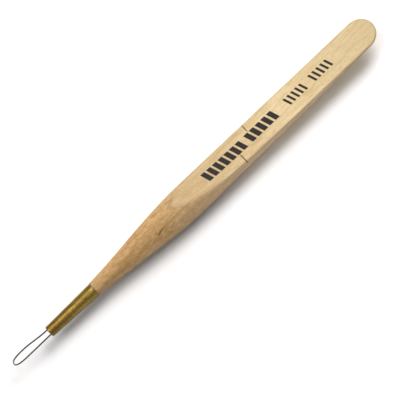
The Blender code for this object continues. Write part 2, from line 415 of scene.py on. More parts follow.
def make_handle(material):
    """Turned stock cut by two faces, as rings of points across the tool.

    Round the ring an angle gives y = half width * cos(angle). The stock's own height
    there is h = sqrt(radius^2 - y^2 - past^2). The upper half is the soft lesser of h
    and the upper face, and the lower half the soft greater of -h and the underside.
    Where the wood between them is thinner than EDGE_ROUND, T thick, its half height
    becomes sqrt(EDGE_ROUND * (2 T - EDGE_ROUND)) / 2, which rounds the blade's edge, and
    it is never less than LEAST_EDGE * |sin(angle)|, which keeps the two faces apart.
    """
    x, radius, past = (values[:, None] for values in handle_sections())
    angle = ring_angles(HANDLE_SIDES)
    stock = worn_stock(x, radius, angle)
    top, underside, lift = cut_heights(x)
    y = np.sqrt(np.maximum(stock**2 - lift**2 - past**2, 0.0)) * np.cos(angle)
    height = np.sqrt(np.maximum(stock**2 - y**2 - past**2, 0.0))
    upper, lower = rounded_faces(x, y, past, height, top, underside)
    thickness = np.maximum(upper - lower, EDGE_ROUND / 2)
    middle = (upper + lower) / 2
    rounded = np.sqrt(np.maximum(EDGE_ROUND * (2 * thickness - EDGE_ROUND), 0.0))
    half = np.where(thickness < EDGE_ROUND, rounded, thickness) / 2
    half = np.maximum(half, LEAST_EDGE * np.abs(np.sin(angle)))
    is_upper = np.sin(angle) >= 0
    z = np.where(is_upper, middle + half, middle - half)
    points = np.stack([np.broadcast_to(x, y.shape), y, z], axis=-1)
    tip = [NOSE_X, 0.0, float(middle[-1].mean())]
    mesh = closed_tube("handle", points, [TENON_X, 0.0, 0.0], tip)

    # Depth below the stock's surface, and distances from the arrises and the nose's edge
    cut = np.where(is_upper, height - top, height + underside)
    to_arris = np.minimum(np.abs(cut), thickness - EDGE_ROUND / 2)
    to_edge = np.sqrt(np.maximum(stock**2 - lift**2, 0.0)) - np.sqrt(y**2 + past**2)
    # Painted shade: the lower half darkens towards the bottom and along the lower arris, where
    # shade falls under the tool
    under = np.maximum(ramp(-z - 0.3, 1.9), bell(to_arris, 0.5))
    add_masks(
        mesh,
        cut_face=np.clip(cut / 0.17 + 0.2, 0.0, 1.0),
        arris=bell(to_arris, 0.45),
        underside=np.where(is_upper, 0.0, under),
        end_grain=decay(to_edge - 0.15, 0.35) * ramp(past, 3.2),
        joint=decay(x - SHOULDER_X, 0.25) * np.ones_like(y),
    )
    add_piece("turned_handle", mesh, material, "handle")


def ferrule_profile():
    """(x, radius) points round the tube's wall: the edge of the rolled lip, the lip, the
    taper outside, the rim, the bore, and the inside of the lip."""
    lip_x = MOUTH_X + LIP_RADIUS
    lip = (lip_x, float(ferrule_radius(lip_x)) - LIP_RADIUS)
    rim_x = SKIRT_X - RIM_ROUND
    rim_r = float(ferrule_radius(SKIRT_X))
    lip_edge = (MOUTH_X + LIP_EDGE_ROUND, OPENING_RADIUS + LIP_EDGE_ROUND)
    outer_x = np.linspace(lip_x, rim_x, TAPER_RINGS + 1)[1:]
    inner_x = np.linspace(rim_x, lip_x, 24)
    return np.concatenate([
        arc(lip_edge, LIP_EDGE_ROUND, 270, 180, 7)[:-1],
        arc(lip, LIP_RADIUS, 180, 90, 16),
        np.stack([outer_x, ferrule_radius(outer_x)], axis=-1),
        arc((rim_x, rim_r - RIM_ROUND), RIM_ROUND, 90, 0, 6)[1:],
        arc((rim_x, rim_r - FERRULE_WALL + RIM_ROUND), RIM_ROUND, 0, -90, 6)[:-1],
        np.stack([inner_x, ferrule_radius(inner_x) - FERRULE_WALL], axis=-1),
        arc(lip, LIP_RADIUS - FERRULE_WALL, 90, 160, 6)[1:],
    ])


def make_ferrule(material):
    """Drawn brass tube: one closed profile of (x, radius) points carried round the axis,
    as (x, radius * cos, radius * sin). The outside radius also varies by about a hundredth
    of a millimetre round and along the tube."""
    profile = ferrule_profile()
    x, profile_r = profile[:, :1], profile[:, 1:]
    angle = ring_angles(FERRULE_SIDES)
    outside = ramp(profile_r - OPENING_RADIUS, 0.4)
    radius = profile_r - outside * (0.012 - waves(x, angle, BRASS_WAVES) * 0.5)
    along = np.broadcast_to(x, radius.shape)
    points = np.stack([along, radius * np.cos(angle), radius * np.sin(angle)], axis=-1)
    mesh = looped_tube("ferrule", points)
    rim = decay(SKIRT_X - x, 0.35) + decay(x - MOUTH_X, 0.3)
    add_masks(mesh, rim=np.clip(rim, 0.0, 1.0) * np.ones_like(angle))
    add_piece("brass_ferrule", mesh, material, "ferrule")


# ---------------- filler and wire


def make_filler(material):
    """Hardened filler in the mouth, as rings from the middle of its face to its back.

    The face is a shallow dome, lower by 0.12 * share^2 away from the middle. It climbs each
    leg of the wire by exp(-distance / 0.12) of a small height, and its edge is turned back.
    Behind it the plug fills the bore.
    """
    angle = ring_angles(FILLER_SIDES)
    bore = float(tenon_radius(FILLER_FRONT_X + 0.3)) + 0.06
    share = np.linspace(0.02, 1.0, FACE_RINGS)[:, None]
    radius = share * bore
    y, z = radius * np.cos(angle), radius * np.sin(angle)
    leg = np.hypot(np.abs(y) - LEG_OFFSET, z)
    climb = 0.1 * decay(leg - WIRE_RADIUS, 0.12)
    pits = waves(y, z * 5.0, FILLER_WAVES)
    face_x = FILLER_FRONT_X + 0.02 + 0.12 * share**2 - climb - pits * (1 - share**6)
    face_x = np.maximum(face_x, MOUTH_X + 0.1) + 0.25 * np.maximum(share - 0.86, 0.0)
    face = np.stack([face_x * np.ones_like(y), y, z], axis=-1)
    back_x = np.linspace(FILLER_FRONT_X + 0.4, FILLER_BACK_X, 6)[:, None] * np.ones_like(angle)
    back_r = tenon_radius(back_x)
    back = np.stack([back_x, back_r * np.cos(angle), back_r * np.sin(angle)], axis=-1)
    points = np.concatenate([face, back])
    middle = [float(face_x[0].mean()), 0.0, 0.0]
    mesh = closed_tube("filler", points, middle, [FILLER_BACK_X, 0.0, 0.0])
    add_piece("mouth_plug", mesh, material, "mouth_filler")


def wire_path():
    """Centre line of the hairpin in the level plane of the tool's axis, with the length at
    each of its evenly spaced points: six cubic curves from one leg's end, round the loop and
    back to the other leg's end. A knot is a place, its handle behind and its handle ahead."""
    end_x = LOOP_END_X + WIRE_RADIUS
    widest_x = end_x + LOOP_END_LENGTH
    bend = LOOP_END_LENGTH * LOOP_END_FULLNESS
    run = (MOUTH_X - widest_x) / 3
    far_bend = (LOOP_BOW_FAR - LOOP_END_OFFSET) * LOOP_END_FULLNESS
    near_bend = (LOOP_BOW_NEAR + LOOP_END_OFFSET) * LOOP_END_FULLNESS
    straight = (LEG_END_X - MOUTH_X) / 3
    knots = np.array([
        [LEG_END_X, LEG_OFFSET, straight, 0.0, -straight, 0.0],
        [MOUTH_X, LEG_OFFSET, straight, 0.0, -run, 0.0],
        [widest_x, LOOP_BOW_FAR, run, 0.0, -bend, 0.0],
        [end_x, LOOP_END_OFFSET, 0.0, far_bend, 0.0, -near_bend],
        [widest_x, -LOOP_BOW_NEAR, -bend, 0.0, run, 0.0],
        [MOUTH_X, -LEG_OFFSET, -run, 0.0, straight, 0.0],
        [LEG_END_X, -LEG_OFFSET, -straight, 0.0, straight, 0.0],
    ])
    t = np.linspace(0.0, 1.0, 161)
    curves = [
        bezier(here[:2], here[:2] + here[4:], there[:2] + there[2:4], there[:2], t)[:-1]
        for here, there in zip(knots[:-1], knots[1:])
    ]
    path = np.concatenate([*curves, knots[-1:, :2]])
    length = np.concatenate([[0.0], np.cumsum(np.hypot(*np.diff(path, axis=0).T))])
    even = np.linspace(0.0, length[-1], WIRE_RINGS)
    x, y = (np.interp(even, length, values) for values in path.T)
    return np.stack([x, y], axis=-1), even


def make_wire(material):
    """Round wire carried along its path, with the fine rings left by drawing and bending.

    A ring stands at each point of the path, in the plane of the path's own normal and Z:
    centre + radius * (normal * cos + Z * sin). Only the radius varies, by fine waves
    along the wire, a slight flattening where it turns most, and a round at its ends.
    """
    path, length = wire_path()
    tangent = np.gradient(path, axis=0)
    tangent /= np.linalg.norm(tangent, axis=1)[:, None]
    heading = np.unwrap(np.arctan2(tangent[:, 1], tangent[:, 0]))
    curl = np.abs(np.gradient(heading, length))
    kernel = np.hanning(41) / np.hanning(41).sum()
    curl = np.convolve(curl, kernel, mode="same")
    bent = ramp(curl, 0.6)[:, None]
    angle = ring_angles(WIRE_SIDES)
    along = length[:, None]
    flattened = 0.012 * bent * np.sin(angle) ** 2
    radius = WIRE_RADIUS - 0.007 + waves(along, angle, WIRE_WAVES) - flattened
    to_end = np.minimum(along, length[-1] - along)
    radius = radius * np.sqrt(np.clip(to_end / 0.12 + 0.3, 0.0, 1.0))
    # The path starts towards -X, so this normal keeps the faces outwards
    normal = np.stack([-tangent[:, 1], tangent[:, 0]], axis=-1)[:, None, :]
    across = (radius * np.cos(angle))[:, :, None] * normal
    up = (radius * np.sin(angle))[:, :, None]
    points = np.concatenate([path[:, None, :] + across, up], axis=-1)
    mesh = closed_tube("wire", points, [*path[0], 0.0], [*path[-1], 0.0])
    # The bend mask also carries the steel's painted highlight
    add_masks(mesh, along=along * np.ones_like(angle), bend=bent * np.ones_like(angle))
    add_piece("wire_loop_drawn", mesh, material, "wire_loop")


# ---------------- node helpers


def fill_inputs(tree, node, inputs):
    """Joins each of these inputs of a node to a socket, or gives it a value of its own."""
    for name, value in inputs.items():
        if isinstance(value, bpy.types.NodeSocket):
            tree.links.new(value, node.inputs[name])
        else:
            node.inputs[name].default_value = value


def add_node(tree, kind, inputs=None, **settings):
    """New node with its settings and its inputs, which are known by name or by number."""
    node = tree.nodes.new(kind)
    for name, value in settings.items():
        setattr(node, name, value)
    fill_inputs(tree, node, inputs or {})
    return node


def calculate(tree, operation, *values, clamp=False):
    """Output of a Math node on one to three numbers or sockets."""
    inputs = dict(enumerate(values))
    node = add_node(tree, "ShaderNodeMath", inputs, operation=operation, use_clamp=clamp)
    return node.outputs[0]


def multiply(tree, first, second):
    """Product of two numbers or sockets."""
    return calculate(tree, "MULTIPLY", first, second)


def multiply_add(tree, value, factor, addend):
    """value * factor + addend."""
    return calculate(tree, "MULTIPLY_ADD", value, factor, addend)


def subtract(tree, first, second):
    """first - second."""
    return calculate(tree, "SUBTRACT", first, second)


def greatest(tree, *masks):
    """The greatest of several masks at each place."""
    total = masks[0]
    for mask in masks[1:]:
        total = calculate(tree, "MAXIMUM", total, mask)
    return total


def remap(tree, value, low, high, to_low=0.0, to_high=1.0, smooth=False):
    """Value moved from low..high to to_low..to_high, and held there."""
    inputs = {"Value": value, "From Min": low, "From Max": high}
    inputs |= {"To Min": to_low, "To Max": to_high}
    kind = "SMOOTHSTEP" if smooth else "LINEAR"
    node = add_node(tree, "ShaderNodeMapRange", inputs, interpolation_type=kind)
    return node.outputs["Result"]


def mix_color(tree, share, first, second):
    """Colour that goes from the first to the second as the share goes from 0 to 1."""
    first, second = (
        (*color, 1.0) if isinstance(color, tuple) else color for color in (first, second)
    )
    # The Mix node's inputs share their names, so these are its colour ones by number
    inputs = {0: share, 6: first, 7: second}
    node = add_node(tree, "ShaderNodeMix", inputs, data_type="RGBA", clamp_factor=True)
    return node.outputs[2]


def tint(tree, base, mask, strength, color):
    """Base colour turned towards another, by the mask times the strength."""
    return mix_color(tree, multiply(tree, mask, strength), base, color)


def noise(tree, vector, scale, detail, roughness=0.5, distortion=0.0):
    """Grey value of a Noise Texture."""
    inputs = {"Vector": vector, "Scale": scale, "Detail": detail}
    inputs |= {"Roughness": roughness, "Distortion": distortion}
    return add_node(tree, "ShaderNodeTexNoise", inputs).outputs[0]


def line_noise(tree, place, scale, detail):
    """Grey value of a Noise Texture of one number."""
    inputs = {"W": place, "Scale": scale, "Detail": detail}
    return add_node(tree, "ShaderNodeTexNoise", inputs, noise_dimensions="1D").outputs[0]


def stretched(tree, vector, scale, location=(0.0, 0.0, 0.0)):
    """Vector scaled differently along each axis, then moved, by a Mapping node."""
    inputs = {"Vector": vector, "Scale": scale, "Location": location}
    return add_node(tree, "ShaderNodeMapping", inputs).outputs["Vector"]


def split(tree, vector):
    """The X, Y and Z of a vector."""
    return add_node(tree, "ShaderNodeSeparateXYZ", {"Vector": vector}).outputs


def tool_coordinates(tree):
    """Object coordinates in millimetres from the tool's axis."""
    place = add_node(tree, "ShaderNodeTexCoord").outputs["Object"]
    return stretched(tree, place, (1 / MM,) * 3, location=(0.0, 0.0, -AXIS_Z))


def attribute(tree, name):
    """A number that the mesh keeps at each vertex."""
    return add_node(tree, "ShaderNodeAttribute", attribute_name=name).outputs["Fac"]


def bump(tree, height, strength, distance):
    """Normal from a height, with its distance in millimetres."""
    inputs = {"Height": height, "Strength": strength, "Distance": distance * MM}
    return add_node(tree, "ShaderNodeBump", inputs).outputs["Normal"]


def new_material(name):
    """Material with its node tree and its place in millimetres."""
    material = bpy.data.materials.new(name)
    material.use_nodes = True
    return material, material.node_tree, tool_coordinates(material.node_tree)


def set_shader(tree, inputs):
    """Fills the named inputs of the material's Principled BSDF."""
    fill_inputs(tree, tree.nodes["Principled BSDF"], inputs)


# ---------------- shared effects


def new_group(name, inputs, outputs):
    """Shader node group with a Vector and named numbers as inputs, and named outputs."""
    group = bpy.data.node_groups.new(name, "ShaderNodeTree")
    group.interface.new_socket("Vector", in_out="INPUT", socket_type="NodeSocketVector")
    for label, value in inputs.items():
        socket = group.interface.new_socket(label, in_out="INPUT", socket_type="NodeSocketFloat")
        socket.default_value = value
    for label in outputs:
        group.interface.new_socket(label, in_out="OUTPUT", socket_type="NodeSocketFloat")
    source = group.nodes.new("NodeGroupInput").outputs
    return group, source, group.nodes.new("NodeGroupOutput").inputs


def place_group(tree, group, inputs):
    """Outputs of the group as a node in a material, with its own values."""
    return add_node(tree, "ShaderNodeGroup", inputs, node_tree=group).outputs


def make_patches():
    """Uneven patches: broad noise with finer noise laid over it, moved to Low..High."""
    inputs = {"Scale": 1.0, "Low": 0.0, "High": 1.0}
    group, source, result = new_group("uneven_patches", inputs, ["Value"])
    vector, scale = source["Vector"], source["Scale"]
    broad = noise(group, vector, scale, 2.0)
    finer = noise(group, vector, multiply(group, scale, 5.3), 4.0, 0.6)
    both = calculate(group, "ADD", multiply(group, broad, 0.65), multiply(group, finer, 0.35))
    value = remap(group, both, 0.34, 0.66, source["Low"], source["High"])
    group.links.new(value, result["Value"])
    return group


def make_specks():
    """Small marks: cells of noise above a threshold, each softened at its edge."""
    inputs = {"Scale": 1.0, "Threshold": 0.62, "Softness": 0.06}
    group, source, result = new_group("small_specks", inputs, ["Mask"])
    value = noise(group, source["Vector"], source["Scale"], 2.0, 0.55)
    low = source["Threshold"]
    high = calculate(group, "ADD", low, source["Softness"])
    group.links.new(remap(group, value, low, high), result["Mask"])
    return group


def make_ring_marks():
    """Fine rings left by drawing and spinning: noise of the place along the metal, bent
    a little by noise of the place itself, coarse and fine together."""
    inputs = {"Along": 0.0, "Pitch": 0.1, "Waver": 0.05}
    group, source, result = new_group("ring_marks", inputs, ["Height", "Coarse"])
    sway = noise(group, source["Vector"], 0.8, 2.0)
    moved = multiply_add(group, sway, source["Waver"], source["Along"])
    place = calculate(group, "DIVIDE", moved, source["Pitch"])
    group.links.new(line_noise(group, place, 1.0, 3.0), result["Height"])
    group.links.new(line_noise(group, place, 0.17, 2.0), result["Coarse"])
    return group


def room_between(group, y, source):
    """Distance of y from the nearer of Low and High, and less than zero outside them."""
    above = subtract(group, y, source["Low"])
    below = subtract(group, source["High"], y)
    return calculate(group, "MINIMUM", below, above)


def make_printed_bars():
    """Row of slanted bars: the place along the row, moved by slant * y and divided by the
    pitch, leaves a remainder that is inked below Width. The row ends at its four sides."""
    inputs = {"Start": 0.0, "End": 10.0, "Low": -1.0, "High": 1.0}
    inputs |= {"Pitch": 2.0, "Width": 0.6, "Slant": 0.3}
    group, source, result = new_group("printed_bars", inputs, ["Mask"])
    x, y, _ = split(group, source["Vector"])
    along = subtract(group, x, source["Start"])
    slanted = multiply_add(group, y, source["Slant"], along)
    turn = calculate(group, "DIVIDE", slanted, source["Pitch"])
    # Distance from the middle of the bar, as a share of the pitch
    half = multiply(group, source["Width"], 0.5)
    off = subtract(group, calculate(group, "FRACT", turn), half)
    off = calculate(group, "ABSOLUTE", off)
    soft = calculate(group, "DIVIDE", 0.07, source["Pitch"])
    inside = subtract(group, half, off)
    inside_bar = remap(group, inside, multiply(group, soft, -1.0), soft)
    passed = calculate(group, "ADD", source["Start"], slanted)
    room = calculate(group, "MINIMUM", slanted, subtract(group, source["End"], passed))
    room = calculate(group, "MINIMUM", room, room_between(group, y, source))
    inside_row = remap(group, room, -0.06, 0.06)
    group.links.new(multiply(group, inside_bar, inside_row), result["Mask"])
    return group


def make_scratch():
    """Fine straight mark across the grain at one x, between two places in y."""
    inputs = {"Place": 0.0, "Low": -1.0, "High": 1.0, "Width": 0.2}
    group, source, result = new_group("cross_scratch", inputs, ["Mask"])
    x, y, _ = split(group, source["Vector"])
    off = calculate(group, "ABSOLUTE", subtract(group, x, source["Place"]))
    share = calculate(group, "DIVIDE", off, source["Width"])
    line = calculate(group, "SUBTRACT", 1.0, share, clamp=True)
    ends = remap(group, room_between(group, y, source), 0.0, 0.35)
    group.links.new(multiply(group, line, ends), result["Mask"])
    return group


patches = make_patches()
specks = make_specks()
ring_marks = make_ring_marks()
printed_bars = make_printed_bars()
cross_scratch = make_scratch()


def patchy(tree, vector, scale=1.0, low=0.0, high=1.0):
    """Uneven patches between two values."""
    inputs = {"Vector": vector, "Scale": scale, "Low": low, "High": high}
    return place_group(tree, patches, inputs)["Value"]


def speckled(tree, vector, scale, threshold, softness):
    """Mask of small marks, fewer with a higher threshold."""
    inputs = {"Vector": vector, "Scale": scale, "Threshold": threshold, "Softness": softness}
    return place_group(tree, specks, inputs)["Mask"]


# ---------------- wood


# Colours, as linear red, green and blue
TURNED_PALE = (0.60, 0.40, 0.18)
TURNED_DEEP = (0.44, 0.265, 0.105)
TURNED_RUDDY = (0.50, 0.255, 0.08)
TURNED_BAND = (0.285, 0.145, 0.03)
# Painted reflection of the floor on the lower half of the turned surface
TURNED_FLOOR_REFLECTION_GREY = (0.43, 0.355, 0.24)
NECK_BROWN = (0.42, 0.25, 0.12)
FIGURE_DARK = (0.34, 0.165, 0.05)
FIGURE_PALE = (0.72, 0.52, 0.27)
SIDE_PALE = (0.70, 0.55, 0.37)
SIDE_DEEP = (0.58, 0.44, 0.275)
CUT_PALE = (0.73, 0.595, 0.36)
CUT_DEEP = (0.625, 0.48, 0.255)
# Painted shade of the scoop's slope, in the cut face towards the belly
WARM_SHADED_CUT_PALE = (0.59, 0.445, 0.25)
WARM_SHADED_CUT_DEEP = (0.475, 0.34, 0.168)
NOSE_CUT = (0.555, 0.445, 0.25)
LATE_GROWTH = (0.43, 0.25, 0.10)
FIBRE_DARK = (0.42, 0.26, 0.11)
FIBRE_PALE = (0.80, 0.66, 0.42)
FLECK_BROWN = (0.36, 0.19, 0.07)
PORE_BROWN = (0.20, 0.11, 0.05)
STREAK_BROWN = (0.17, 0.085, 0.03)
INK_BLACK = (0.010, 0.008, 0.009)
HAIRLINE_BLACK = (0.035, 0.02, 0.012)
END_GRAIN_BROWN = (0.36, 0.25, 0.13)
GRIME = (0.16, 0.09, 0.04)
# Painted shade for the underside of the handle
UNDERSIDE_PAINTED_SHADE = (0.15, 0.12, 0.09)


def growth_layers(tree, place, y, z):
    """Late wood of the growth layers: distance from a line outside the stock, bent by slow
    noise, whose remainder rises slowly and falls away sharply."""
    bend = noise(tree, stretched(tree, place, (0.045, 0.3, 0.3)), 1.0, 2.0)
    off_y = calculate(tree, "POWER", calculate(tree, "ADD", y, -9.0), 2.0)
    off_z = calculate(tree, "POWER", calculate(tree, "ADD", z, 21.0), 2.0)
    distance = calculate(tree, "SQRT", calculate(tree, "ADD", off_y, off_z))
    layers = multiply_add(tree, bend, 3.2, multiply(tree, distance, 0.62))
    saw = calculate(tree, "FRACT", layers)
    late = remap(tree, saw, 0.55, 1.0, smooth=True)
    return multiply(tree, late, remap(tree, saw, 1.0, 0.93))


def cut_colors(tree, x, broad):
    """Colour of the cut faces: pale, warmer and darker towards the belly, where the darkening is
    painted shade on the scoop's slope, and duller at the nose.
    """
    cut = mix_color(tree, broad, CUT_PALE, CUT_DEEP)
    # Painted shade: the cut face on the scoop's slope towards the belly is darkened
    warm_shaded_cut = mix_color(tree, broad, WARM_SHADED_CUT_PALE, WARM_SHADED_CUT_DEEP)
    cut = mix_color(tree, remap(tree, x, 2.0, 36.0), warm_shaded_cut, cut)
    return mix_color(tree, remap(tree, x, 44.0, 58.0, 0.0, 0.5), cut, NOSE_CUT)


def turned_colors(tree, place, broad, mottle, side_angle):
    """Colour of the turned surface: mottled brown with a wavy figure, a darker band along
    one side of the neck, greyer low down as a painted reflection of the pale floor, and pale where
    it runs on beside the flats."""
    x, _, z = split(tree, place)
    turned = mix_color(tree, broad, TURNED_PALE, TURNED_DEEP)
    turned = tint(tree, turned, mottle, 0.42, TURNED_RUDDY)
    wavy = stretched(tree, place, (0.62, 1.15, 1.15), location=(5.0, 2.0, 9.0))
    figure = noise(tree, wavy, 1.0, 3.0, 0.6, 0.6)
    turned = mix_color(tree, remap(tree, figure, 0.5, 0.64, 0.0, 0.58), turned, FIGURE_DARK)
    turned = mix_color(tree, remap(tree, figure, 0.46, 0.34, 0.0, 0.42), turned, FIGURE_PALE)
    # The band is exp(-(angle off its middle / 0.36)^2), and its middle turns with x
    middle = multiply_add(tree, x, -0.028, -0.10)
    off_band = calculate(tree, "DIVIDE", subtract(tree, side_angle, middle), 0.36)
    square = multiply(tree, off_band, off_band)
    band = calculate(tree, "EXPONENT", multiply(tree, square, -1.0))
    band = multiply(tree, band, remap(tree, x, -14.0, -34.0, 0.12, 0.58))
    band = multiply(tree, band, remap(tree, mottle, 0.0, 1.0, 0.7, 1.0))
    turned = mix_color(tree, band, turned, TURNED_BAND)
    # Painted reflection of the floor: the turned surface goes greyer towards the bottom
    turned = mix_color(tree, remap(tree, z, 1.5, -2.0, 0.0, 0.45), turned, TURNED_FLOOR_REFLECTION_GREY)
    turned = mix_color(tree, remap(tree, x, -30.0, -42.0, 0.0, 0.3), turned, NECK_BROWN)
    side = mix_color(tree, broad, SIDE_PALE, SIDE_DEEP)
    return mix_color(tree, remap(tree, x, -14.0, 26.0, 0.0, 0.9), turned, side)


def mineral_streak(tree, x, side_angle, fibre):
    """Dark streak along the near side of the belly: a line in (x, angle) that falls as
    exp(-(x + 16.2) / 2.6) to 0.53, sways with the fibres, and thins and fades along X."""
    past = calculate(tree, "DIVIDE", calculate(tree, "ADD", x, 16.2), -2.6)
    line = multiply_add(tree, calculate(tree, "EXPONENT", past), 0.20, 0.53)
    sway = multiply_add(tree, fibre, 0.06, -0.03)
    off = subtract(tree, calculate(tree, "ADD", side_angle, sway), line)
    off = calculate(tree, "ABSOLUTE", off)
    thickness = remap(tree, x, -15.0, -11.0, 0.125, 0.05)
    share = calculate(tree, "DIVIDE", off, thickness)
    streak = calculate(tree, "SUBTRACT", 1.0, share, clamp=True)
    faded = multiply(tree, remap(tree, x, -13.0, -15.0, 0.5, 1.0), remap(tree, x, 4.0, -8.0))
    return multiply(tree, streak, multiply(tree, remap(tree, x, -17.0, -16.0), faded))


def ink_bars(tree, x, y, z, cut_face):
    """Two heavy rows and two light rows of plain bars, on the upper flat only."""
    drift = multiply_add(tree, x, -0.008, y)
    printing = add_node(tree, "ShaderNodeCombineXYZ", {"X": x, "Y": drift, "Z": z}).outputs[0]
    heavy = {"Vector": printing, "Low": -1.95, "High": 1.75, "Width": 0.72, "Slant": 0.30}
    light = {"Vector": printing, "Low": -1.75, "High": 1.45, "Width": 0.50, "Slant": 0.30}
    rows = [
        heavy | {"Start": 6.0, "End": 22.6, "Pitch": 2.37},
        heavy | {"Start": 23.9, "End": 36.0, "Pitch": 2.42},
        light | {"Start": 40.2, "End": 48.5, "Pitch": 1.66},
        light | {"Start": 50.8, "End": 59.2, "Pitch": 1.68},
    ]
    ink = greatest(tree, *(place_group(tree, printed_bars, row)["Mask"] for row in rows))
    ink = multiply(tree, ink, remap(tree, z, 1.9, 2.2))
    return multiply(tree, ink, cut_face)


def hairlines(tree, place, z):
    """Two fine marks from the bars out to the flat's edges, one on each side."""
    far = {"Vector": place, "Place": 25.4, "Low": 2.1, "High": 5.2, "Width": 0.30}
    near = {"Vector": place, "Place": 18.9, "Low": -5.5, "High": -1.9, "Width": 0.36}
    marks = greatest(tree, *(place_group(tree, cross_scratch, row)["Mask"] for row in (far, near)))
    return multiply(tree, marks, remap(tree, z, 0.0, 1.0))


def make_wood():
    """Pale close-grained hardwood: growth layers and fibres along X, small flecks, a dark
    streak, paler cut faces, ink bars on the flat, and grime at the edges and the joint."""
    material, tree, place = new_material("handle_hardwood")
    x, y, z = split(tree, place)
    cut_face = attribute(tree, "cut_face")
    side_angle = calculate(tree, "ARCTAN2", multiply(tree, y, -1.0), z)

    # Grain: broad bands and fine fibres drawn out along X, with flecks and pores
    slow = noise(tree, stretched(tree, place, (0.07, 0.75, 0.75)), 1.0, 4.0, 0.6, 0.4)
    broad = remap(tree, slow, 0.32, 0.68)
    fibre = noise(tree, stretched(tree, place, (0.16, 3.4, 3.4)), 1.3, 4.0, 0.65, 0.2)
    mottle = patchy(tree, stretched(tree, place, (0.34, 0.8, 0.8)))
    fleck = speckled(tree, stretched(tree, place, (0.9, 4.2, 4.2)), 1.0, 0.6, 0.08)
    fine_grain = stretched(tree, place, (1.5, 11.0, 11.0), location=(3.0, 7.0, 1.0))
    pore = speckled(tree, fine_grain, 1.0, 0.63, 0.05)
    late = growth_layers(tree, place, y, z)

    turned = turned_colors(tree, place, broad, mottle, side_angle)
    wood = mix_color(tree, cut_face, turned, cut_colors(tree, x, broad))
    wood = tint(tree, wood, late, 0.32, LATE_GROWTH)
    wood = mix_color(tree, remap(tree, fibre, 0.4, 0.75, 0.0, 0.38), wood, FIBRE_DARK)
    wood = mix_color(tree, remap(tree, fibre, 0.45, 0.2, 0.0, 0.3), wood, FIBRE_PALE)
    wood = tint(tree, wood, fleck, 0.42, FLECK_BROWN)
    wood = tint(tree, wood, pore, 0.42, PORE_BROWN)
    wood = tint(tree, wood, mineral_streak(tree, x, side_angle, fibre), 0.9, STREAK_BROWN)

    # The ink is worn a little along the fibres and over the pores
    worn = multiply_add(tree, fibre, 0.6, multiply(tree, pore, 0.35))
    ink = ink_bars(tree, x, y, z, cut_face)
    ink = multiply(tree, ink, remap(tree, worn, 0.85, 0.5, 0.86, 0.99))
    wood = mix_color(tree, ink, wood, INK_BLACK)
    scratches = hairlines(tree, place, z)
    wood = tint(tree, wood, scratches, 0.97, HAIRLINE_BLACK)

    wood = tint(tree, wood, attribute(tree, "end_grain"), 0.62, END_GRAIN_BROWN)
    edge_grime = remap(tree, mottle, 0.0, 1.0, 0.05, 0.28)
    edge_grime = multiply(tree, attribute(tree, "arris"), edge_grime)
    joint_grime = multiply(tree, attribute(tree, "joint"), 0.8)
    wood = mix_color(tree, greatest(tree, edge_grime, joint_grime), wood, GRIME)
    # Painted shade under the tool: the lower half and the lower arris darkened
    wood = tint(tree, wood, attribute(tree, "underside"), 0.42, UNDERSIDE_PAINTED_SHADE)

    rough = multiply_add(tree, fibre, 0.12, patchy(tree, place, 0.7, 0.46, 0.62))
    rough = multiply_add(tree, ink, -0.12, rough)
    height = multiply_add(tree, pore, -0.8, fibre)
    height = multiply_add(tree, scratches, -2.0, height)
    height = multiply_add(tree, late, 0.25, height)
    normal = bump(tree, height, 0.55, 0.04)
    set_shader(tree, {"Base Color": wood, "Roughness": rough, "Normal": normal})
    set_shader(tree, {"Specular IOR Level": 0.25})
    return material


# ---------------- metals, filler and paper


# Colours, as linear red, green and blue
MOUTH_BRASS = (0.58, 0.31, 0.068)
SKIRT_BRASS = (0.88, 0.68, 0.145)
TARNISH = (0.27, 0.175, 0.038)
RING_BROWN = (0.36, 0.18, 0.04)
GROOVE_BROWN = (0.13, 0.08, 0.02)
STROKE_DARK = (0.20, 0.13, 0.03)
STROKE_BRIGHT = (0.88, 0.62, 0.15)
SPOT_BROWN = (0.20, 0.155, 0.055)
RIM_BROWN = (0.12, 0.075, 0.03)
# Painted shade for the tube's lower side
SHADED_LOW_BRASS = (0.092, 0.068, 0.018)
STEEL_GREY = (0.155, 0.152, 0.145)
STEEL_STAIN = (0.105, 0.10, 0.092)
STEEL_GROOVE = (0.04, 0.038, 0.035)
STEEL_BROWN = (0.085, 0.07, 0.055)
# Painted highlight for the bent wire
BEND_HIGHLIGHT_STEEL = (0.26, 0.255, 0.24)
RESIN_BROWN = (0.115, 0.065, 0.03)
RESIN_DARK = (0.055, 0.033, 0.018)
PIT_BLACK = (0.02, 0.014, 0.009)
PAPER_WHITE = (0.90, 0.90, 0.905)
PAPER_GREY = (0.885, 0.885, 0.89)


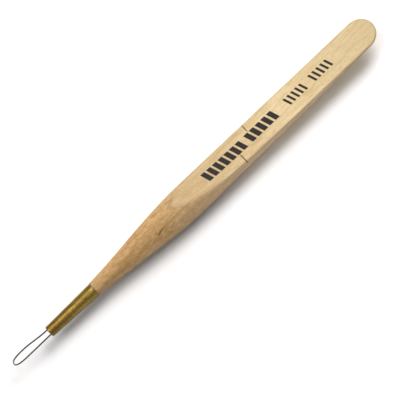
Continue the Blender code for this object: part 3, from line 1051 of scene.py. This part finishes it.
def make_brass():
    """Spun brass gone brown with handling: warm and dull patches, fine rings, specks of
    tarnish, darker metal at the lip and at the skirt, and painted shade low down."""
    material, tree, place = new_material("aged_brass")
    x, _, z = split(tree, place)
    inputs = {"Along": x, "Vector": place, "Pitch": 0.16, "Waver": 0.12}
    rings = place_group(tree, ring_marks, inputs)
    fine, coarse = rings["Height"], rings["Coarse"]
    tarnish = patchy(tree, stretched(tree, place, (0.35, 0.8, 0.8)))
    spots = speckled(tree, place, 2.6, 0.6, 0.12)
    # Broken strokes of the cloth that polished the tube as it spun
    strokes = noise(tree, stretched(tree, place, (6.5, 1.3, 1.3)), 1.0, 3.0, 0.6)
    bright = mix_color(tree, remap(tree, x, MOUTH_X, SKIRT_X), MOUTH_BRASS, SKIRT_BRASS)
    metal = mix_color(tree, tarnish, bright, TARNISH)
    metal = mix_color(tree, remap(tree, coarse, 0.35, 0.7, 0.0, 0.5), metal, RING_BROWN)
    metal = mix_color(tree, remap(tree, fine, 0.45, 0.68, 0.0, 0.62), metal, GROOVE_BROWN)
    metal = mix_color(tree, remap(tree, strokes, 0.5, 0.72, 0.0, 0.55), metal, STROKE_DARK)
    metal = mix_color(tree, remap(tree, strokes, 0.46, 0.3, 0.0, 0.5), metal, STROKE_BRIGHT)
    metal = tint(tree, metal, spots, 0.45, SPOT_BROWN)
    metal = tint(tree, metal, attribute(tree, "rim"), 0.55, RIM_BROWN)
    # Painted shade: the tube's lower side and bottom darkened where they reflect the floor
    low_side_shade = remap(tree, z, 1.6, 0.8, 0.0, 0.7)
    below = remap(tree, z, 0.2, -1.2, 0.0, 0.8)
    metal = mix_color(tree, greatest(tree, low_side_shade, below), metal, SHADED_LOW_BRASS)
    rough = remap(tree, tarnish, 0.0, 1.0, 0.24, 0.35)
    rough = multiply_add(tree, fine, 0.12, rough)
    rough = multiply_add(tree, spots, 0.12, rough)
    height = multiply_add(tree, coarse, 0.8, fine)
    height = multiply_add(tree, strokes, 0.8, height)
    normal = bump(tree, height, 0.7, 0.02)
    set_shader(tree, {"Base Color": metal, "Roughness": rough, "Normal": normal})
    set_shader(tree, {"Metallic": 1.0})
    return material


def make_steel():
    """Drawn spring steel: grey with dark fine rings, lighter where it is bent as a painted
    highlight, and smoother there.
    """
    material, tree, place = new_material("drawn_spring_steel")
    bend = attribute(tree, "bend")
    inputs = {"Along": attribute(tree, "along"), "Vector": place, "Pitch": 0.14, "Waver": 0.05}
    rings = place_group(tree, ring_marks, inputs)
    fine, coarse = rings["Height"], rings["Coarse"]
    metal = mix_color(tree, patchy(tree, place, 0.9), STEEL_GREY, STEEL_STAIN)
    metal = mix_color(tree, remap(tree, fine, 0.42, 0.62, 0.0, 0.75), metal, STEEL_GROOVE)
    metal = mix_color(tree, remap(tree, coarse, 0.4, 0.7, 0.0, 0.4), metal, STEEL_BROWN)
    # Painted highlight: lighter colour where the wire is bent
    metal = tint(tree, metal, bend, 0.45, BEND_HIGHLIGHT_STEEL)
    rough = multiply_add(tree, fine, 0.15, remap(tree, bend, 0.0, 1.0, 0.42, 0.24))
    normal = bump(tree, fine, 0.6, 0.01)
    set_shader(tree, {"Base Color": metal, "Roughness": rough, "Normal": normal})
    set_shader(tree, {"Metallic": 1.0})
    return material


def make_filler_resin():
    """Hardened brown filler: uneven in colour and gloss, with dark pits."""
    material, tree, place = new_material("hardened_filler")
    shade = patchy(tree, place, 1.6)
    pits = speckled(tree, place, 5.0, 0.58, 0.05)
    resin = mix_color(tree, shade, RESIN_BROWN, RESIN_DARK)
    resin = tint(tree, resin, pits, 0.7, PIT_BLACK)
    rough = remap(tree, shade, 0.0, 1.0, 0.38, 0.6)
    normal = bump(tree, subtract(tree, shade, pits), 0.5, 0.04)
    set_shader(tree, {"Base Color": resin, "Roughness": rough, "Normal": normal})
    return material


def make_floor_paper():
    """Plain near-white paper, a little uneven."""
    material, tree, place = new_material("floor_paper")
    tone = patchy(tree, place, 0.4)
    paper = mix_color(tree, tone, PAPER_WHITE, PAPER_GREY)
    rough = remap(tree, tone, 0.0, 1.0, 0.85, 0.95)
    set_shader(tree, {"Base Color": paper, "Roughness": rough, "Specular IOR Level": 0.1})
    return material


# ---------------- stage


def make_floor(material):
    """Flat round floor under the tool: (radius * cos, radius * sin) rings about its middle."""
    radius = np.array([150.0, 600.0, 3000.0])[:, None]
    rings, sides = len(radius), FLOOR_SIDES
    angle = ring_angles(sides)
    height = np.full((rings, sides), -AXIS_Z)
    points = np.stack([radius * np.cos(angle), radius * np.sin(angle), height], axis=-1)
    vertices = np.concatenate([points.reshape(-1, 3), [[0.0, 0.0, -AXIS_Z]]])
    side = np.arange(sides)
    center = np.full(sides, rings * sides)
    triangles = np.stack([side, (side + 1) % sides, center], axis=-1)
    # Turned over, so that they face upwards
    quads = tube_faces(rings, sides)[:, ::-1]
    mesh = make_mesh("floor", vertices, quads, triangles)
    mesh.materials.append(material)
    add_object("floor", mesh)


SOFTBOX_DISTANCE = 0.9
SOFTBOX_WHITE = (1.0, 0.985, 0.965)
ROOM_WHITE = (0.965, 0.95, 0.97, 1.0)


def add_softbox(name, direction, size, power):
    """Rectangular area light that looks at the tool from a direction, in metres and watts."""
    light = bpy.data.lights.new(name, "AREA")
    light.shape = "RECTANGLE"
    light.size, light.size_y = size
    light.energy = power
    light.color = SOFTBOX_WHITE
    lamp = add_object(name, light)
    toward = Vector(direction).normalized()
    lamp.location = toward * SOFTBOX_DISTANCE
    lamp.rotation_mode = "QUATERNION"
    lamp.rotation_quaternion = toward.to_track_quat("Z", "Y")


def make_lights():
    """A strong softbox beyond the blade, a weak one beyond the loop and a strip along the
    tool, in an evenly lit pale room. The Standard view keeps the colours as they are."""
    add_softbox("blade_side_softbox", (0.95, 0.45, 1.0), (0.50, 0.50), 7.9)
    add_softbox("loop_side_softbox", (-0.85, 0.25, 1.0), (0.50, 0.50), 2.4)
    add_softbox("overhead_strip", (0.05, 0.01, 1.0), (0.80, 0.15), 1.7)
    world = bpy.data.worlds.new("studio")
    world.use_nodes = True
    background = world.node_tree.nodes["Background"]
    background.inputs["Color"].default_value = ROOM_WHITE
    background.inputs["Strength"].default_value = 0.265
    scene = bpy.context.scene
    scene.world = world
    scene.view_settings.view_transform = "Standard"
    scene.view_settings.look = "None"


def make_camera():
    """Long lens above the near side of the tool, turned so that the tool lies aslant.

    The camera leans 25 degrees from straight above, across the tool. Its right and its up
    are the tool's own direction and the direction across the view, turned by the slant.
    """
    lean = math.radians(25.0)
    slant = math.radians(43.37)
    back = Vector((0.0, -math.sin(lean), math.cos(lean)))
    along = Vector((1.0, 0.0, 0.0))
    across = Vector((0.0, -math.cos(lean), -math.sin(lean)))
    right = along * math.cos(slant) + across * math.sin(slant)
    up = along * math.sin(slant) - across * math.cos(slant)
    middle = Vector((0.0, 0.0, AXIS_Z)) + along * 0.35 + across * 2.32
    view_width = 123.2
    camera = bpy.data.cameras.new("camera")
    camera.sensor_width = 36.0
    camera.lens = 350.0
    distance = view_width * camera.lens / camera.sensor_width
    camera.clip_start, camera.clip_end = 0.05, 20.0
    holder = add_object("camera", camera)
    turn = Matrix((right, up, back)).transposed()
    holder.rotation_mode = "QUATERNION"
    holder.rotation_quaternion = turn.to_quaternion()
    holder.location = (middle + back * distance) * MM
    bpy.context.scene.camera = holder


make_handle(make_wood())
make_ferrule(make_brass())
make_filler(make_filler_resin())
make_wire(make_steel())
make_floor(make_floor_paper())
make_lights()
make_camera()
